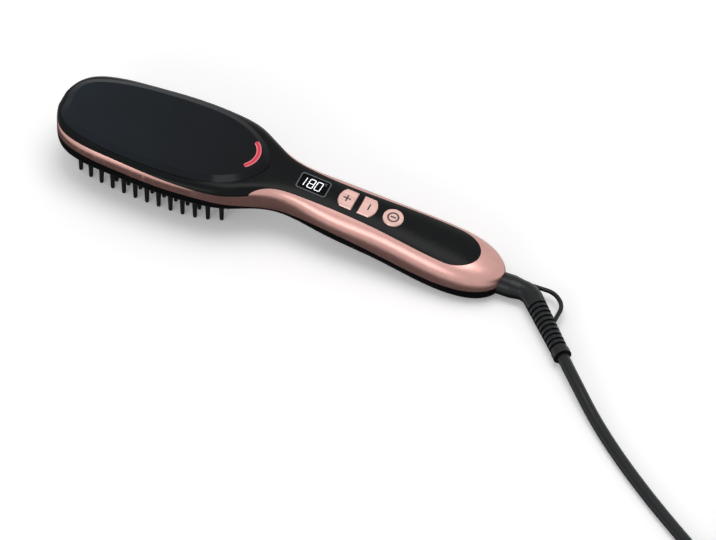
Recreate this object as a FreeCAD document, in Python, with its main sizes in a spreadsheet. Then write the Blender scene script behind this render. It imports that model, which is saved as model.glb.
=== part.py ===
import FreeCAD, Part
import math
import os
import Sketcher
from FreeCAD import Placement, Rotation, Vector

# A heated straightening brush: +X runs from the head to the cord, +Z is up, the bristles point down.
# The origin is under the middle of the brush, on the surface that it lies on.

doc = FreeCAD.newDocument("straightening_brush")
sheet = doc.addObject("Spreadsheet::Sheet", "Sizes")

# Driving sizes in millimetres, and shares, exponents and counts where the name says so
SIZES = {
    # Outer body, as stations along the brush: place from the middle, half width, top and underside
    "nose_along": -144.6, "nose_half": 7.0, "nose_top": 41.6, "nose_low": 31.0,
    "brow_along": -141.2, "brow_half": 16.0, "brow_top": 43.0, "brow_low": 26.5,
    "cheek_along": -135.5, "cheek_half": 23.2, "cheek_top": 43.5, "cheek_low": 23.5,
    "temple_along": -124.5, "temple_half": 28.6, "temple_top": 43.5, "temple_low": 22.3,
    "crown_along": -100.0, "crown_half": 32.2, "crown_top": 43.5, "crown_low": 22.3,
    "widest_along": -67.0, "widest_half": 34.0, "widest_top": 43.5, "widest_low": 22.3,
    "flank_along": -41.0, "flank_half": 32.4, "flank_top": 43.5, "flank_low": 22.3,
    "throat_along": -25.0, "throat_half": 28.6, "throat_top": 43.5, "throat_low": 22.3,
    "nape_along": -11.0, "nape_half": 21.2, "nape_top": 43.0, "nape_low": 21.3,
    "neck_along": 2.0, "neck_half": 16.0, "neck_top": 41.7, "neck_low": 18.7,
    "wrist_along": 30.0, "wrist_half": 16.4, "wrist_top": 38.7, "wrist_low": 13.6,
    "grip_along": 70.0, "grip_half": 17.6, "grip_top": 35.0, "grip_low": 7.0,
    "palm_along": 104.0, "palm_half": 19.4, "palm_top": 30.2, "palm_low": 1.2,
    "heel_along": 122.0, "heel_half": 18.4, "heel_top": 27.0, "heel_low": 0.0,
    "rump_along": 134.0, "rump_half": 14.8, "rump_top": 23.6, "rump_low": 0.5,
    "tail_along": 141.6, "tail_half": 9.2, "tail_top": 19.8, "tail_low": 2.8,
    "end_along": 144.8, "end_half": 3.6, "end_top": 16.0, "end_low": 7.0,
    "head_square": 6.0, "handle_round": 2.6, "belly_square": 4.2, "mid_share": 0.53,
    "shell_wall": 2.2,
    # Parting lines seen from the side: black cover over rose frame, rose frame over black underside
    "seam_tip": 40.9, "seam_widest": 40.0, "seam_throat": 37.9, "seam_neck": 39.2,
    "panel_depth": 7.0,
    "belt_tip": 33.8, "belt_widest": 32.6, "belt_throat": 30.2, "belt_neck": 24.6,
    "belt_wrist": 23.6, "belt_grip": 17.2, "belt_palm": 12.4, "belt_end": 10.6,
    # Handle panel seen from above
    "panel_neck_half": 11.0, "panel_grip_half": 11.8, "panel_palm_half": 13.9, "panel_end_along": 129.4,
    "panel_round": 19.0, "funnel_along": 16.0, "funnel_start": -24.0, "funnel_half": 38.0,
    "funnel_mid_along": -12.0, "funnel_mid_half": 21.5, "funnel_foot_along": -1.5, "funnel_foot_half": 14.2,
    # Glossy plate on the head
    "plate_tip": -141.6, "plate_widest": -67.3, "plate_end": -8.9, "plate_half": 29.6,
    "plate_tip_power": 2.0, "plate_tip_root": 3.6, "plate_end_power": 2.6, "plate_end_root": 1.6,
    "plate_seat": 42.3, "plate_edge": 43.4, "plate_top": 45.4, "plate_bevel": 4.0,
    "plate_gap": 0.15,
    # Crescent light in the plate
    "light_along": -17.3, "light_across": 2.2, "light_radius": 12.6, "light_width": 2.8,
    "light_sweep": 92.0, "light_turn": 2.0, "light_gap": 0.1, "light_proud": 0.15,
    # Display and buttons on the handle, placed along the sloping panel
    "panel_slope": 6.2, "panel_deck_along": 18.3, "panel_deck_height": 40.0,
    "display_place": 2.4, "display_length": 19.6, "display_width": 12.4, "display_corner": 1.8,
    "bezel_rim": 0.7, "bezel_depth": 2.4, "bezel_proud": 0.25, "window_thick": 1.2, "window_sunk": 0.15,
    "button_gap": 0.3, "button_travel": 0.6, "button_proud": 0.7, "button_depth": 3.6,
    "button_flange": 0.8, "button_flange_thick": 0.8,
    "plus_place": 24.4, "minus_place": 38.9, "power_place": 54.8,
    "key_length": 10.7, "key_width": 14.0, "key_round": 6.2, "power_radius": 6.6,
    "key_crown": 0.5,
    # Board under the panel
    "board_drop": 8.6, "board_thick": 1.6, "board_length": 76.0, "board_width": 19.0,
    "board_start": -12.0, "switch_side": 6.0, "switch_height": 3.0, "plunger_radius": 1.2,
    "switch_gap": 0.15,
    "module_length": 18.0, "module_width": 10.8, "module_gap": 0.05,
    "post_first": 14.6, "post_second": 46.8, "post_across": 7.4, "post_radius": 1.4,
    # Bristle base and bristles
    "base_inset": 4.0, "base_flange": 2.0, "base_flange_thick": 1.5, "base_ledge": 26.2,
    "base_low": 21.8, "base_gap": 0.2,
    "bristle_foot": 2.6, "bristle_waist": 1.75, "bristle_tip": 1.25, "bristle_flare": 5.0,
    "bristle_margin": 0.2, "bristle_columns": 13, "bristle_first": -126.0, "bristle_pitch": 7.8,
    "bristle_row": 7.4, "bristle_rows": 5, "bristle_clear": 5.4, "root_radius": 1.6,
    # Heater stack in the head
    "heater_thick": 2.5, "heater_inset": 7.5, "heater_middle": -74.0,
    "element_length": 72.0, "element_width": 8.0, "element_thick": 2.2, "element_across": 8.0,
    "clamp_length": 80.0, "clamp_width": 27.0, "clamp_thick": 0.8,
    "sheet_length": 86.0, "sheet_width": 32.0, "sheet_thick": 0.4,
    "shield_length": 92.0, "shield_width": 40.0, "shield_thick": 1.2,
    "fixing_shank": 1.2, "fixing_head": 2.2, "fixing_head_thick": 1.4, "fixing_gap": 0.1,
    "fixing_along": 32.0, "fixing_across": 18.6,
    "sensor_reach": 3.0, "sensor_length": 5.0, "sensor_width": 3.0, "sensor_height": 2.0,
    "fuse_reach": 2.4, "fuse_radius": 1.6, "fuse_length": 11.0,
    # Light board
    "light_board_top": 40.6, "light_board_thick": 1.0, "light_board_length": 18.0,
    "light_board_width": 14.0,
    # Power board and case screws in the handle
    "rib_first": 96.0, "rib_second": 118.0, "rib_thick": 2.0, "rib_width": 16.0,
    "power_board_low": 12.0, "power_length": 34.0, "power_width": 22.0, "power_thick": 1.6,
    "capacitor_radius": 3.4, "capacitor_length": 13.0, "capacitor_across": 5.5,
    "choke_radius": 3.6, "choke_height": 7.0, "choke_along": 9.0,
    "triac_length": 9.0, "triac_thick": 3.0, "triac_height": 7.5,
    "screw_neck": -3.0, "screw_neck_meet": 28.0, "board_clear": 0.4, "screw_grip_meet": 14.0,
    "screw_radius": 1.5, "screw_head": 2.7, "screw_head_thick": 1.8, "screw_bite": 7.0,
    "screw_gap": 0.05, "screw_land": 2.5, "boss_radius": 3.2, "stand_wall": 0.6,
    # Heater wires
    "wire_radius": 1.0, "wire_across": 6.2, "wire_wrist_height": 21.5, "wire_reach": 0.3,
    "wire_bend": 4.0, "wire_seat": 0.4,
    # Swivel and strain relief at the handle's end
    "swivel_height": 7.8, "swivel_fit": 0.06, "swivel_play": 0.3, "swivel_gap": 0.4,
    "bush_start": 130.0, "bush_length": 8.0, "bush_radius": 7.0, "spigot_radius": 5.0,
    "spigot_tail": 1.6, "clip_thick": 1.4, "clip_play": 0.1, "clip_radius": 6.4, "clip_bite": 0.9,
    "sleeve_radius": 7.1, "relief_radius": 6.2, "relief_thin": 5.3, "relief_cone": 6.0,
    "bend_start": 157.0, "relief_bend": 13.0, "relief_turn": 45.0, "relief_tail": 48.0,
    "relief_plain": 7.0, "relief_ring": 4.0, "ring_radius": 5.7, "rib_count": 10,
    "rib_slot_share": 0.45, "rib_depth": 1.1,
    # Hanging loop
    "loop_radius": 1.35, "loop_start_along": 160.0, "loop_start_across": 5.4,
    "loop_far_along": 176.0, "loop_far_across": 5.8, "loop_peak_along": 184.6,
    "loop_peak_across": -1.4, "loop_join": 26.0,
    # Cord, coil, tie and plug
    "bend_share": 0.45, "cord_radius": 3.75, "cord_lift": 0.1, "coil_lift": 1.3,
    "coil_along": 406.0, "coil_across": -120.4, "coil_entry": 241.0, "coil_wide": 55.0,
    "coil_pitch": 8.0, "coil_layer_turns": 2.5, "coil_climb_turns": 0.5, "coil_layer_height": 8.1,
    "lead_one_along": 235.0, "lead_one_across": -71.2, "lead_rise": 0.6,
    "lead_two_along": 258.5, "lead_two_across": -90.8, "lead_three_along": 284.5,
    "lead_three_across": -110.2, "lead_four_along": 312.5, "lead_four_across": -129.2,
    "lead_first_run": 20.0, "lead_last_run": 28.0, "tail_run": 14.0, "tail_drop_run": 18.0,
    "tie_gap": 0.35, "tie_thick": 0.8, "tie_width": 9.0, "tie_round": 3.0, "tie_turn": 90.0,
    "plug_thick": 14.0, "plug_neck": 4.8, "plug_round": 4.5, "plug_collar": 14.0,
    "plug_length": 22.0, "plug_width": 26.0, "pin_radius": 2.0, "pin_length": 19.0,
    "pin_spacing": 18.6, "pin_round": 0.9,
}

for row, (alias, value) in enumerate(SIZES.items(), start=1):
    sheet.set("A%d" % row, alias.replace("_", " "))
    sheet.set("B%d" % row, str(value))
    sheet.setAlias("B%d" % row, alias)
doc.recompute()


def size(name):
    """A driving size, read from the sheet."""
    return float(sheet.get(name))


def place_feature(label, shape):
    """A sub-part whose shape is worked out from the sheet's sizes."""
    feature = doc.addObject("Part::Feature", label)
    feature.Label = label
    feature.Shape = shape
    feature.Placement = shape.Placement
    return feature


def mirrored_loop(points):
    """A closed smooth edge through points with y above 0 and their mirror images."""
    tip, tail = points[0], points[-1]
    upper = points[1:-1]
    lower = [Vector(p.x, -p.y, p.z) for p in reversed(upper)]
    curve = Part.BSplineCurve()
    curve.interpolate([tip] + upper + [tail] + lower, PeriodicFlag=True)
    return Part.Wire([curve.toShape()])


def prism(wire, low, high):
    """The upright solid of a level outline drawn at height 0."""
    face = Part.Face(wire)
    face.translate(Vector(0, 0, low))
    return face.extrude(Vector(0, 0, high - low))


# Outer body
STATIONS = ["nose", "brow", "cheek", "temple", "crown", "widest", "flank", "throat", "nape",
            "neck", "wrist", "grip", "palm", "heel", "rump", "tail", "end"]
SECTION_STEPS = 24


def squareness(along):
    """How square the section is: boxy on the head, round on the handle, eased over the neck."""
    ease_from = size("throat_along")
    ease_to = size("wrist_along")
    share = min(max((along - ease_from) / (ease_to - ease_from), 0.0), 1.0)
    eased = share * share * (3 - 2 * share)
    return size("head_square") + (size("handle_round") - size("head_square")) * eased


def body_section(name, wall):
    """The closed section at one station, drawn in by a wall."""
    along = size(name + "_along")
    half = size(name + "_half") - wall
    top = size(name + "_top") - wall
    low = size(name + "_low") + wall
    middle = low + (top - low) * size("mid_share")
    power_top = squareness(along)
    power_low = max(power_top, size("belly_square"))
    points = []
    for step in range(SECTION_STEPS):
        angle = -math.pi / 2 + 2 * math.pi * step / SECTION_STEPS
        across = math.cos(angle)
        upward = math.sin(angle)
        power = power_top if upward > 0 else power_low
        reach = (abs(across) ** power + abs(upward) ** power) ** (-1 / power)
        height = top - middle if upward > 0 else middle - low
        points.append(Vector(along, half * reach * across, middle + height * reach * upward))
    curve = Part.BSplineCurve()
    curve.interpolate(points, PeriodicFlag=True)
    return Part.Wire([curve.toShape()])


def body_loft(wall, names):
    """The smooth solid through the sections of the named stations."""
    return Part.makeLoft([body_section(name, wall) for name in names], True, False)


outer_body = body_loft(0.0, STATIONS)
inner_body = body_loft(size("shell_wall"), STATIONS[1:-1])
shell = outer_body.cut(inner_body)
print("outer body volume %.0f, shell volume %.0f" % (outer_body.Volume, shell.Volume))


def side_region(points, depth_z):
    """The solid between a side-view curve and a level far above (or below) it, right across the brush."""
    reach = size("widest_half") * 2
    curve = Part.BSplineCurve()
    curve.interpolate([Vector(along, -reach, height) for along, height in points])
    first, last = curve.StartPoint, curve.EndPoint
    far_first = Vector(first.x, -reach, depth_z)
    far_last = Vector(last.x, -reach, depth_z)
    rim = Part.Wire([curve.toShape(), Part.makeLine(last, far_last),
                     Part.makeLine(far_last, far_first), Part.makeLine(far_first, first)])
    return Part.Face(rim).extrude(Vector(0, 2 * reach, 0))


def panel_outline():
    """The black cover seen from above: a funnel off the head that runs into the handle panel."""
    head_edge = size("funnel_start")
    palm = size("panel_end_along") - size("panel_round")
    flare = [Vector(head_edge, size("funnel_half"), 0),
             Vector(size("funnel_mid_along"), size("funnel_mid_half"), 0),
             Vector(size("funnel_foot_along"), size("funnel_foot_half"), 0),
             Vector(size("funnel_along"), size("panel_neck_half"), 0),
             Vector(size("grip_along"), size("panel_grip_half"), 0),
             Vector(palm, size("panel_palm_half"), 0)]
    side = Part.BSplineCurve()
    side.interpolate(flare)
    turn = Part.Ellipse(Vector(palm, 0, 0), size("panel_round"), size("panel_palm_half"))
    quarter = turn.toShape(0, math.pi / 2)
    near = [side.toShape(), quarter]
    far = [edge.mirror(Vector(), Vector(0, 1, 0)) for edge in near]
    start = 2 * size("nose_along")
    corner = Vector(start, size("funnel_half"), 0)
    corner_far = Vector(start, -size("funnel_half"), 0)
    mouth = Vector(head_edge, size("funnel_half"), 0)
    mouth_far = Vector(head_edge, -size("funnel_half"), 0)
    wide = Part.makePolygon([mouth, corner, corner_far, mouth_far])
    return Part.Wire(Part.__sortEdges__(near + far + wide.Edges))


sky = 2 * size("plate_top")
seam_line = [(2 * size("nose_along"), size("seam_tip")), (size("nose_along"), size("seam_tip")),
             (size("widest_along"), size("seam_widest")), (size("throat_along"), size("seam_throat")),
             (size("neck_along"), size("seam_neck") - size("panel_depth") / 2)]
for name in ("wrist", "grip", "palm", "tail"):
    seam_line.append((size(name + "_along"), size(name + "_top") - size("panel_depth")))
seam_line.append((2 * size("end_along"), size("end_low")))
belt_line = [(2 * size("nose_along"), size("belt_tip")), (size("nose_along"), size("belt_tip")),
             (size("widest_along"), size("belt_widest")), (size("throat_along"), size("belt_throat")),
             (size("neck_along"), size("belt_neck")), (size("wrist_along"), size("belt_wrist")),
             (size("grip_along"), size("belt_grip")), (size("palm_along"), size("belt_palm")),
             (size("end_along"), size("belt_end")), (2 * size("end_along"), size("belt_end"))]
above_seam = side_region(seam_line, sky)
above_belt = side_region(belt_line, sky)
head_and_panel = prism(panel_outline(), 0, sky)
cover_region = above_seam.common(head_and_panel)


# Glossy plate on the head
PLATE_STEPS = 9


def plate_outline(inset):
    """The plate's outline, drawn in by an inset: blunt at the tip, oval at the handle end."""
    half = size("plate_half") - inset
    front = size("plate_widest") - size("plate_tip") - inset
    back = size("plate_end") - size("plate_widest") - inset
    points = []
    for step in range(PLATE_STEPS + 1):
        share = math.cos(math.pi / 2 * step / PLATE_STEPS)
        bulge = (1 - share ** size("plate_tip_power")) ** (1 / size("plate_tip_root"))
        points.append(Vector(size("plate_widest") - front * share, half * bulge, 0))
    for step in range(1, PLATE_STEPS + 1):
        share = math.sin(math.pi / 2 * step / PLATE_STEPS)
        bulge = max(1 - share ** size("plate_end_power"), 0.0) ** (1 / size("plate_end_root"))
        points.append(Vector(size("plate_widest") + back * share, half * bulge, 0))
    return mirrored_loop(points)


def raised(wire, height):
    """A level outline lifted to a height."""
    lifted = wire.copy()
    lifted.translate(Vector(0, 0, height))
    return lifted


plate_base = prism(plate_outline(0), size("plate_seat"), size("plate_edge"))
plate_crown = Part.makeLoft([raised(plate_outline(0), size("plate_edge")),
                             raised(plate_outline(size("plate_bevel")), size("plate_top"))], True, True)
plate_solid = plate_base.fuse(plate_crown).removeSplitter()


# Crescent light, an arc of a ring with round ends
def crescent(width, low, high):
    """An upright curved bar of a width."""
    centre = Vector(size("light_along") - size("light_radius"), size("light_across"), 0)

    def polar(radius, degrees):
        angle = math.radians(size("light_turn") + degrees)
        return centre + Vector(radius * math.cos(angle), radius * math.sin(angle), 0)

    half = size("light_sweep") / 2
    outer = size("light_radius") + width / 2
    inner = size("light_radius") - width / 2
    tip = math.degrees(width / 2 / size("light_radius"))
    middle = size("light_radius")
    rim = [Part.Arc(polar(outer, -half), polar(outer, 0), polar(outer, half)).toShape(),
           Part.Arc(polar(outer, half), polar(middle, half + tip), polar(inner, half)).toShape(),
           Part.Arc(polar(inner, half), polar(inner, 0), polar(inner, -half)).toShape(),
           Part.Arc(polar(inner, -half), polar(middle, -half - tip), polar(outer, -half)).toShape()]
    return prism(Part.Wire(rim), low, high)


lens_top = size("plate_top") + size("light_proud")
slot_width = size("light_width") + 2 * size("light_gap")
plate_solid = plate_solid.cut(crescent(slot_width, size("plate_seat"), lens_top))
light_lens = crescent(size("light_width"), size("plate_seat"), lens_top)

# Panel frame: local X runs down the handle, local Z is square to the panel
deck = Placement(Vector(size("panel_deck_along"), 0, size("panel_deck_height")),
                 Rotation(Vector(0, 1, 0), size("panel_slope")))


def on_deck(shape, along=0.0):
    """A shape drawn on the panel frame, moved along it and set on the handle."""
    moved = shape.copy()
    moved.translate(Vector(along, 0, 0))
    moved.Placement = deck.multiply(moved.Placement)
    return moved


def edges_along(solid, way):
    """The edges of a block that run one way."""
    return [edge for edge in solid.Edges if round(abs(edge.tangentAt(edge.FirstParameter).dot(way))) == 1]


def round_rectangle(length, width, corner):
    """A level rectangle with round corners, about the middle."""
    box = Part.makePlane(length, width, Vector(-length / 2, -width / 2, 0)).extrude(Vector(0, 0, 1))
    rounded = box.makeFillet(corner, edges_along(box, Vector(0, 0, 1)))
    floor = min(rounded.Faces, key=lambda face: face.CenterOfMass.z)
    return floor.OuterWire


def key_outline(grow, side):
    """A temperature key: round on one side (-1 is to the head) and straight on the other."""
    half = size("key_width") / 2 + grow
    start = side * (size("key_length") / 2 - size("key_round") / 2)
    crest = side * (size("key_length") / 2 + grow)
    points = [Vector(-crest, half, 0), Vector(start, half, 0), Vector(start, -half, 0),
              Vector(-crest, -half, 0)]
    bow = Part.Arc(points[1], Vector(crest, 0, 0), points[2]).toShape()
    rest = [Part.makeLine(points[2], points[3]), Part.makeLine(points[3], points[0]),
            Part.makeLine(points[0], points[1])]
    return Part.Wire(Part.__sortEdges__([bow] + rest))


def power_outline(grow):
    """The round on and off button."""
    return Part.Wire([Part.makeCircle(size("power_radius") + grow)])


def button_solid(outline):
    """A button with a small bevel at its top edge and a flange that keeps it in the cover."""
    bevel = size("key_crown")
    top = size("button_proud")
    shoulder = size("button_flange_thick") - size("button_depth") - bevel
    skirt = prism(outline(0), shoulder, top - bevel)
    crown = Part.makeLoft([raised(outline(0), top - bevel), raised(outline(-bevel), top)], True, True)
    flange = prism(outline(size("button_flange")), shoulder - size("button_flange_thick"), shoulder)
    return skirt.fuse([crown, flange]).removeSplitter()


BUTTONS = {
    "plus_button": (lambda grow: key_outline(grow, -1), size("plus_place")),
    "minus_button": (lambda grow: key_outline(grow, 1), size("minus_place")),
    "power_button": (power_outline, size("power_place")),
}
cover_cuts = []
for label, (outline, along) in BUTTONS.items():
    place_feature(label, on_deck(button_solid(outline), along))
    opening = prism(outline(size("button_gap")), -size("panel_depth"), size("panel_depth"))
    cover_cuts.append(on_deck(opening, along))

# Display: a rim that stands a little proud, and a window sunk into it
bezel_wire = round_rectangle(size("display_length"), size("display_width"), size("display_corner"))
pane_corner = size("display_corner") - size("bezel_rim") / 2
pane_wire = round_rectangle(size("display_length") - 2 * size("bezel_rim"),
                            size("display_width") - 2 * size("bezel_rim"), pane_corner)
display_along = size("display_place")
bezel_top = size("bezel_proud")
pane_top = bezel_top - size("window_sunk")
pane_low = pane_top - size("window_thick")
bezel = prism(bezel_wire, -size("bezel_depth"), bezel_top).cut(
    prism(pane_wire, -size("bezel_depth"), bezel_top))
place_feature("display_bezel", on_deck(bezel, display_along))
place_feature("display_window", on_deck(prism(pane_wire, pane_low, pane_top), display_along))
cover_cuts.append(on_deck(prism(bezel_wire, -size("panel_depth"), size("panel_depth")), display_along))

# Shells: the body's wall, split along the two parting lines
plate_pocket = prism(plate_outline(-size("plate_gap")), size("plate_seat"), sky)
top_cover = shell.common(cover_region).cut(cover_cuts + [plate_pocket])
side_frame = shell.common(above_belt).cut(cover_region)
bottom_cover = shell.cut(above_belt)
place_feature("head_plate", plate_solid)
place_feature("light_lens", light_lens)
for label, solid in (("top_cover", top_cover), ("side_frame", side_frame), ("bottom_cover", bottom_cover)):
    print(label, "solids", len(solid.Solids), "volume %.0f" % solid.Volume)


def slab(label, length, width, thick, place):
    """A flat board or plate: a centred rectangle, padded, with its sizes bound to the sheet."""
    body = doc.addObject("PartDesign::Body", label)
    body.Label = label
    sketch = body.newObject("Sketcher::SketchObject", label + "_outline")
    level = next(item for item in body.Origin.OriginFeatures if item.Role == "XY_Plane")
    sketch.AttachmentSupport = [(level, "")]
    sketch.MapMode = "FlatFace"
    half_l, half_w = size(length) / 2, size(width) / 2
    corners = [Vector(-half_l, -half_w, 0), Vector(half_l, -half_w, 0),
               Vector(half_l, half_w, 0), Vector(-half_l, half_w, 0)]
    for index in range(4):
        sketch.addGeometry(Part.LineSegment(corners[index], corners[(index + 1) % 4]), False)
    for index in range(4):
        sketch.addConstraint(Sketcher.Constraint("Coincident", index, 2, (index + 1) % 4, 1))
    for index, way in enumerate(("Horizontal", "Vertical", "Horizontal", "Vertical")):
        sketch.addConstraint(Sketcher.Constraint(way, index))
    sketch.addConstraint(Sketcher.Constraint("Symmetric", 0, 1, 1, 2, -1, 1))
    for index, alias in ((0, length), (1, width)):
        number = sketch.addConstraint(Sketcher.Constraint("Distance", index, size(alias)))
        sketch.setExpression("Constraints[%d]" % number, "Sizes." + alias)
    pad = body.newObject("PartDesign::Pad", label + "_pad")
    pad.Profile = sketch
    pad.setExpression("Length", "Sizes." + thick)
    body.Placement = place
    return body


def rod(radius, low, high, along=0.0, across=0.0):
    """An upright round bar between two heights."""
    return Part.makeCylinder(radius, high - low, Vector(along, across, low))


def block(length, width, low, high, along=0.0, across=0.0):
    """An upright square-cornered block about a centre, between two heights."""
    corner = Vector(along - length / 2, across - width / 2, low)
    return Part.makeBox(length, width, high - low, corner)


# Control board, its switches and the display module, all square to the panel
board_top = -size("board_drop")
board_middle = size("board_start") + size("board_length") / 2
slab("control_board", "board_length", "board_width", "board_thick",
     deck.multiply(Placement(Vector(board_middle, 0, board_top - size("board_thick")), Rotation())))
switches = []
switch_top = board_top + size("switch_height")
flange_low = -size("button_depth") - size("key_crown")
plunger_top = flange_low - size("button_travel") - size("switch_gap")
for outline, along in BUTTONS.values():
    body_box = block(size("switch_side"), size("switch_side"), board_top, switch_top)
    plunger = rod(size("plunger_radius"), switch_top, plunger_top)
    switches.append(on_deck(body_box.fuse(plunger), along))
place_feature("tact_switches", Part.makeCompound(switches))
module_top = -size("bezel_depth") - size("module_gap")
module = block(size("module_length"), size("module_width"), board_top, module_top)
place_feature("display_module", on_deck(module, display_along))
posts = []
for along in (size("post_first"), size("post_second")):
    for side in (-1, 1):
        post = rod(size("post_radius"), board_top, -size("shell_wall") / 2, along, side * size("post_across"))
        posts.append(on_deck(post))
top_cover = top_cover.cut(crescent(slot_width, size("light_board_top"), sky)).fuse(posts)

# Head: bristle base in the underside, heater and its stack above it
base_wire_inset = size("base_inset")
flange_inset = base_wire_inset - size("base_flange")
ledge = size("base_ledge")
flange_top = ledge + size("base_flange_thick")
bottom_cover = bottom_cover.cut([prism(plate_outline(base_wire_inset), 0, ledge),
                                 prism(plate_outline(flange_inset), ledge, size("belt_tip"))])
base_gap = size("base_gap")
bristle_base = prism(plate_outline(base_wire_inset + base_gap), size("base_low"), ledge).fuse(
    prism(plate_outline(flange_inset + base_gap), ledge, flange_top)).removeSplitter()


def plate_half_at(along, inset):
    """Half the width of the drawn-in plate outline at a place along the head."""
    half = size("plate_half") - inset
    if along < size("plate_widest"):
        share = (size("plate_widest") - along) / (size("plate_widest") - size("plate_tip") - inset)
        return half * max(1 - share ** size("plate_tip_power"), 0.0) ** (1 / size("plate_tip_root"))
    share = (along - size("plate_widest")) / (size("plate_end") - size("plate_widest") - inset)
    return half * max(1 - share ** size("plate_end_power"), 0.0) ** (1 / size("plate_end_root"))


def bristle(root):
    """A bristle with a flared foot, a slight taper and a round tip, and a root of a height in the base."""
    foot, waist, tip = size("bristle_foot"), size("bristle_waist"), size("bristle_tip")
    top = size("base_low")
    flare = size("bristle_flare")
    bend = Vector((foot + 2 * waist) / 3 - (foot - waist) / 12, 0, top - flare / 3)
    rim = [Part.makeLine(Vector(0, 0, top), Vector(foot, 0, top)),
           Part.Arc(Vector(foot, 0, top), bend, Vector(waist, 0, top - flare)).toShape(),
           Part.makeLine(Vector(waist, 0, top - flare), Vector(tip, 0, tip)),
           Part.Arc(Vector(tip, 0, tip), Vector(tip * math.sqrt(0.5), 0, tip - tip * math.sqrt(0.5)),
                    Vector(0, 0, 0)).toShape(),
           Part.makeLine(Vector(0, 0, 0), Vector(0, 0, top))]
    solid = Part.Face(Part.Wire(rim)).revolve(Vector(), Vector(0, 0, 1), 360)
    if root > 0:
        solid = solid.fuse(rod(size("root_radius"), top, top + root)).removeSplitter()
    return solid


guard_inset = base_wire_inset + base_gap + size("bristle_foot") + size("bristle_margin")
root_height = flange_top - size("base_low")
side_rows = int(size("bristle_rows")) // 2
guard_places = []
heated_places = []
for column in range(int(size("bristle_columns"))):
    along = size("bristle_first") + column * size("bristle_pitch")
    edge = plate_half_at(along, guard_inset)
    guard_places += [(along, edge), (along, -edge)]
    for row in range(-side_rows, side_rows + 1):
        across = row * size("bristle_row")
        if abs(across) < edge - size("bristle_clear"):
            heated_places.append((along, across))
nose_along = size("bristle_first") - size("bristle_pitch")
for side in (-1, 1):
    guard_places.append((nose_along, side * size("bristle_row") / 2))


def standing(shape, places):
    """Copies of a shape at places along and across the head."""
    return [shape.translated(Vector(along, across, 0)) for along, across in places]


hole = rod(size("root_radius") + base_gap, size("base_low"), flange_top)
bristle_base = bristle_base.cut(standing(hole, heated_places))
place_feature("guard_bristles", Part.makeCompound(standing(bristle(0), guard_places)))
place_feature("heated_bristles", Part.makeCompound(standing(bristle(root_height), heated_places)))
print("bristles: %d guard, %d heated" % (len(guard_places), len(heated_places)))

heater_top = flange_top + size("heater_thick")
heater_plate = prism(plate_outline(size("heater_inset")), flange_top, heater_top)
head_middle = size("heater_middle")
element_top = heater_top + size("element_thick")
elements = []
for side in (-1, 1):
    elements.append(block(size("element_length"), size("element_width"), heater_top, element_top,
                          head_middle, side * size("element_across")))
place_feature("heating_elements", Part.makeCompound(elements))
stack = element_top
for label, length, width, thick in (("element_clamp", "clamp_length", "clamp_width", "clamp_thick"),
                                    ("insulation_sheet", "sheet_length", "sheet_width", "sheet_thick"),
                                    ("heat_shield", "shield_length", "shield_width", "shield_thick")):
    slab(label, length, width, thick, Placement(Vector(head_middle, 0, stack), Rotation()))
    stack += size(thick)
fixings = []
shank, head = size("fixing_shank"), size("fixing_head")
for side_along in (-1, 1):
    for side in (-1, 1):
        along = head_middle + side_along * size("fixing_along")
        across = side * size("fixing_across")
        fixings.append(rod(shank, ledge, heater_top, along, across).fuse(
            rod(head, heater_top, heater_top + size("fixing_head_thick"), along, across)))
        bore = rod(shank + size("fixing_gap"), ledge, heater_top, along, across)
        heater_plate = heater_plate.cut(bore)
        bristle_base = bristle_base.cut(bore)
place_feature("heater_screws", Part.makeCompound(fixings))
place_feature("heater_plate", heater_plate)
place_feature("bristle_base", bristle_base)
sensor_along = head_middle - size("clamp_length") / 2 - size("sensor_reach")
place_feature("thermistor", block(size("sensor_length"), size("sensor_width"), heater_top,
                                  heater_top + size("sensor_height"), sensor_along, 0))
fuse_along = head_middle + size("shield_length") / 2 + size("fuse_reach")
fuse_body = Part.makeCylinder(size("fuse_radius"), size("fuse_length"),
                              Vector(fuse_along, -size("fuse_length") / 2, heater_top + size("fuse_radius")),
                              Vector(0, 1, 0))
place_feature("thermal_fuse", fuse_body)

# Light board close under the crescent lens
light_low = size("light_board_top") - size("light_board_thick")
light_board = block(size("light_board_length"), size("light_board_width"), light_low,
                    size("light_board_top"), size("light_along") - size("light_board_length") / 4, 0)
place_feature("light_board", light_board)

# Handle: power board on two ribs, and the screws that close the case
rib_height = size("power_board_low")
for rib_along in (size("rib_first"), size("rib_second")):
    rib = block(size("rib_thick"), size("rib_width"), 0, rib_height, rib_along).common(outer_body)
    bottom_cover = bottom_cover.fuse(rib)
power_middle = (size("rib_first") + size("rib_second")) / 2
slab("power_board", "power_length", "power_width", "power_thick",
     Placement(Vector(power_middle, 0, rib_height), Rotation()))
parts_low = rib_height + size("power_thick")
capacitor = Part.makeCylinder(size("capacitor_radius"), size("capacitor_length"),
                              Vector(power_middle - size("capacitor_length"), -size("capacitor_across"),
                                     parts_low + size("capacitor_radius")), Vector(1, 0, 0))
choke = rod(size("choke_radius"), parts_low, parts_low + size("choke_height"),
            power_middle - size("choke_along"), size("capacitor_across"))
triac = block(size("triac_length"), size("triac_thick"), parts_low, parts_low + size("triac_height"),
              power_middle + size("choke_along"), 0)
place_feature("power_parts", Part.makeCompound([capacitor, choke, triac]))

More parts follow.
